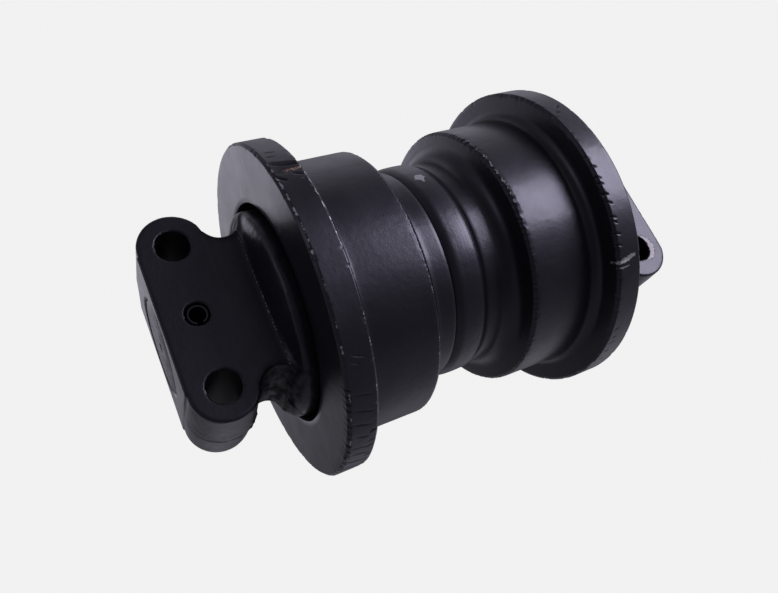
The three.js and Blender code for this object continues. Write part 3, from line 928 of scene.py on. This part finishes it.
BUSH = [
    (31.15, 15.8), (31.9, 15), (35.2, 15), (36, 15.8), (36, 61.5), (36.5, 62), (40.4, 62),
    (41, 62.6), (41, 65.4), (40.4, 66), (32, 66), (31.15, 65.2), (31.15, 41), (32, 40.4),
    (32, 38.6), (31.15, 38),
]
SEAL_RING = [
    (37.6, 70.5), (38.1, 70), (42.1, 70), (42.6, 70.5), (43.2, 77.0), (43.9, 77.6),
    (47.9, 77.8), (48.4, 78.3), (48.4, 80.5), (47.9, 81), (45.5, 81), (44, 80.85),
    (38.1, 80.85), (37.6, 80.4),
]
SEAL_SPLIT_Y = 81.15
TORIC_R, TORIC_Y, TORIC_CORD = 46.6, 74.0, 3.2
AXLE_RING_R, AXLE_RING_CORD = 24.55, 1.3


def round_cord(centre_r, y, radius):
    """A round section, for the rubber rings."""
    return arc((centre_r, y), radius, 0, 360, 20)


# ---- assembly ------------------------------------------------------------------------------
def fit(obj, node, body, slot):
    """Puts a finished piece in place of a CAD node."""
    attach(obj, body)
    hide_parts(node)


for side, word in ((-1, "left"), (1, "right")):
    fit(shell_half(side, f"forged_shell_{word}"), f"shell_half_{word}", "roller", "shell_paint")
    fit(collar(side, f"forged_collar_{word}"), f"collar_{word}", "fixed_frame", "collar_paint")
    fit(lock_pin(side, f"spring_pin_{word}"), f"lock_pin_{word}", "fixed_frame", "pin_steel")
    inner_rings = [
        ("flanged_bush", BUSH, "roller", BRONZE, "bush_bronze"),
        ("rotating_seal_ring", SEAL_RING, "roller", SEAL_IRON, "seal_iron"),
        ("rotating_seal_toric", round_cord(TORIC_R, TORIC_Y, TORIC_CORD), "roller", RUBBER,
         "seal_rubber"),
        ("fixed_seal_ring", mirrored(SEAL_RING, SEAL_SPLIT_Y), "fixed_frame", SEAL_IRON,
         "seal_iron"),
        ("fixed_seal_toric", round_cord(TORIC_R, 2 * SEAL_SPLIT_Y - TORIC_Y, TORIC_CORD),
         "fixed_frame", RUBBER, "seal_rubber"),
        ("axle_o_ring", round_cord(AXLE_RING_R, AXLE_RING_Y, AXLE_RING_CORD), "fixed_frame",
         RUBBER, "seal_rubber"),
    ]
    for kind, outline, body, finish, slot in inner_rings:
        ring = turned(f"turned_{kind}_{word}", outline, finish, side=side)
        fit(ring, f"{kind}_{word}", body, slot)

fit(weld_bead("weld_bead"), "weld_band", "roller", "shell_paint")
fit(axle_piece(), "axle", "fixed_frame", "axle_steel")
fit(oil_plug("threaded_oil_plug"), "oil_plug", "fixed_frame", "plug_steel")


# ---- camera, floor and light ---------------------------------------------------------------
CAMERA_AT = (128.9, -186.9, 355.5)
CAMERA_RIGHT, CAMERA_UP = (0.40395, 0.87372, 0.27099), (-0.86796, 0.27250, 0.41521)
SENSOR, LENS = 36, 31.753


def camera():
    """A short lens close to the left collar, looking down on the mounting faces."""
    right, up = Vector(CAMERA_RIGHT), Vector(CAMERA_UP)
    data = bpy.data.cameras.new("camera")
    data.sensor_width, data.lens = SENSOR, LENS
    obj = bpy.data.objects.new("camera", data)
    bpy.context.scene.collection.objects.link(obj)
    turn = Matrix((right, up, right.cross(up))).transposed().to_4x4()
    obj.matrix_world = Matrix.Translation(Vector(CAMERA_AT) * MM) @ turn
    bpy.context.scene.camera = obj


STUDIO_TINT = (0.90, 0.875, 1.0)
BACKDROP = 0.885  # how bright the floor and the paper behind it look

# The room's own light by elevation: sine of the elevation, then radiance.
ROOM = [
    (-1.0, 0.03), (-0.92, 0.10), (-0.75, 0.16), (-0.35, 0.24), (0.1, 0.20), (0.5, 0.10), (0.9, 0.12),
]
# Paler patches of the room: azimuth from +X to +Y, elevation, spread in degrees, radiance.
PATCHES = [
    (-156, -48, 11, 1.35), (-168, -70, 9, 0.40), (-4, -74, 10, 0.40), (-84, -72, 9, 0.10),
    (45, -45, 14, 0.25), (68, -18, 16, 0.45), (144, -22, 14, 0.35),
    (122, 9, 9, 0.75), (162, 2, 14, 0.35), (-140, 28, 14, 0.15), (107, 25, 9, 0.80),
    (98, 46, 19, 0.75), (-110, 20, 8, 1.00),
]


def floor():
    """A pale floor for the camera, evenly lit. The room's light already holds its glow."""
    size, low = 6000, -RIM_R - 0.5
    corners = [(-size, -size, low), (size, -size, low), (size, size, low), (-size, size, low)]
    s = Shader("floor_pale")
    s.set(Base_Color=(0.0, 0.0, 0.0, 1), Roughness=1.0, Specular_IOR_Level=0.0)
    s.set(Emission_Color=(1, 1, 1, 1), Emission_Strength=BACKDROP)
    obj = piece("floor", corners, [(0, 1, 2, 3)], s.material)
    obj.visible_diffuse = obj.visible_glossy = obj.visible_shadow = False


def towards(azimuth, elevation):
    """The direction with this azimuth, from +X to +Y, and elevation."""
    a, e = math.radians(azimuth), math.radians(elevation)
    return Vector((math.cos(a) * math.cos(e), math.sin(a) * math.cos(e), math.sin(e)))


def softbox(name, azimuth, elevation, distance, width, height, watts):
    """A soft area lamp that faces the roller."""
    data = bpy.data.lights.new(name, "AREA")
    data.shape, data.size, data.size_y = "RECTANGLE", width * MM, height * MM
    data.energy, data.color = watts, STUDIO_TINT
    obj = bpy.data.objects.new(name, data)
    bpy.context.scene.collection.objects.link(obj)
    place = towards(azimuth, elevation)
    turn = place.to_track_quat("Z", "Y").to_matrix().to_4x4()
    obj.matrix_world = Matrix.Translation(place * distance * MM) @ turn
    obj.visible_camera = False


def surroundings():
    """A dim room with paler patches, as its walls and cards show in the enamel."""
    world = bpy.data.worlds.new("studio")
    world.use_nodes = True
    tree = world.node_tree
    add, join = tree.nodes.new, tree.links.new
    way = add("ShaderNodeTexCoord").outputs["Generated"]

    def math_node(operation, first, second=0.0):
        """One sum on two numbers or sockets."""
        node = add("ShaderNodeMath")
        node.operation = operation
        for socket, value in zip(node.inputs, (first, second)):
            if isinstance(value, float):
                socket.default_value = value
            else:
                join(value, socket)
        return node.outputs[0]

    axes = add("ShaderNodeSeparateXYZ")
    join(way, axes.inputs[0])
    ramp = add("ShaderNodeValToRGB")
    join(math_node("MULTIPLY", math_node("ADD", axes.outputs["Z"], 1.0), 0.5), ramp.inputs[0])
    stops = ramp.color_ramp.elements
    while len(stops) < len(ROOM):
        stops.new(0.5)
    for stop, (sine, level) in zip(stops, ROOM):
        stop.position = (sine + 1) / 2
        stop.color = (level, level, level, 1)
    total = ramp.outputs[0]
    for azimuth, elevation, spread, radiance in PATCHES:
        toward = add("ShaderNodeVectorMath")
        toward.operation = "DOT_PRODUCT"
        join(way, toward.inputs[0])
        toward.inputs[1].default_value = towards(azimuth, elevation)
        short = math_node("SUBTRACT", toward.outputs["Value"], 1.0)
        narrow = math_node("MULTIPLY", short, 1 / math.radians(spread) ** 2)
        bright = math_node("MULTIPLY", math_node("EXPONENT", narrow), radiance)
        total = math_node("ADD", total, bright)
    lit = tree.nodes["Background"]
    lit.inputs["Color"].default_value = (*STUDIO_TINT, 1)
    join(total, lit.inputs["Strength"])
    seen = add("ShaderNodeBackground")
    seen.inputs["Color"].default_value = (BACKDROP, BACKDROP, BACKDROP, 1)
    path, mix = add("ShaderNodeLightPath"), add("ShaderNodeMixShader")
    join(path.outputs["Is Camera Ray"], mix.inputs[0])
    join(lit.outputs[0], mix.inputs[1])
    join(seen.outputs[0], mix.inputs[2])
    join(mix.outputs[0], tree.nodes["World Output"].inputs[0])
    bpy.context.scene.world = world


def lighting():
    """The room and its one lamp, shown without any film curve."""
    surroundings()
    softbox("key", azimuth=99, elevation=47, distance=1500, width=780, height=680, watts=13)
    bpy.context.scene.view_settings.view_transform = "Standard"


camera()
floor()
lighting()
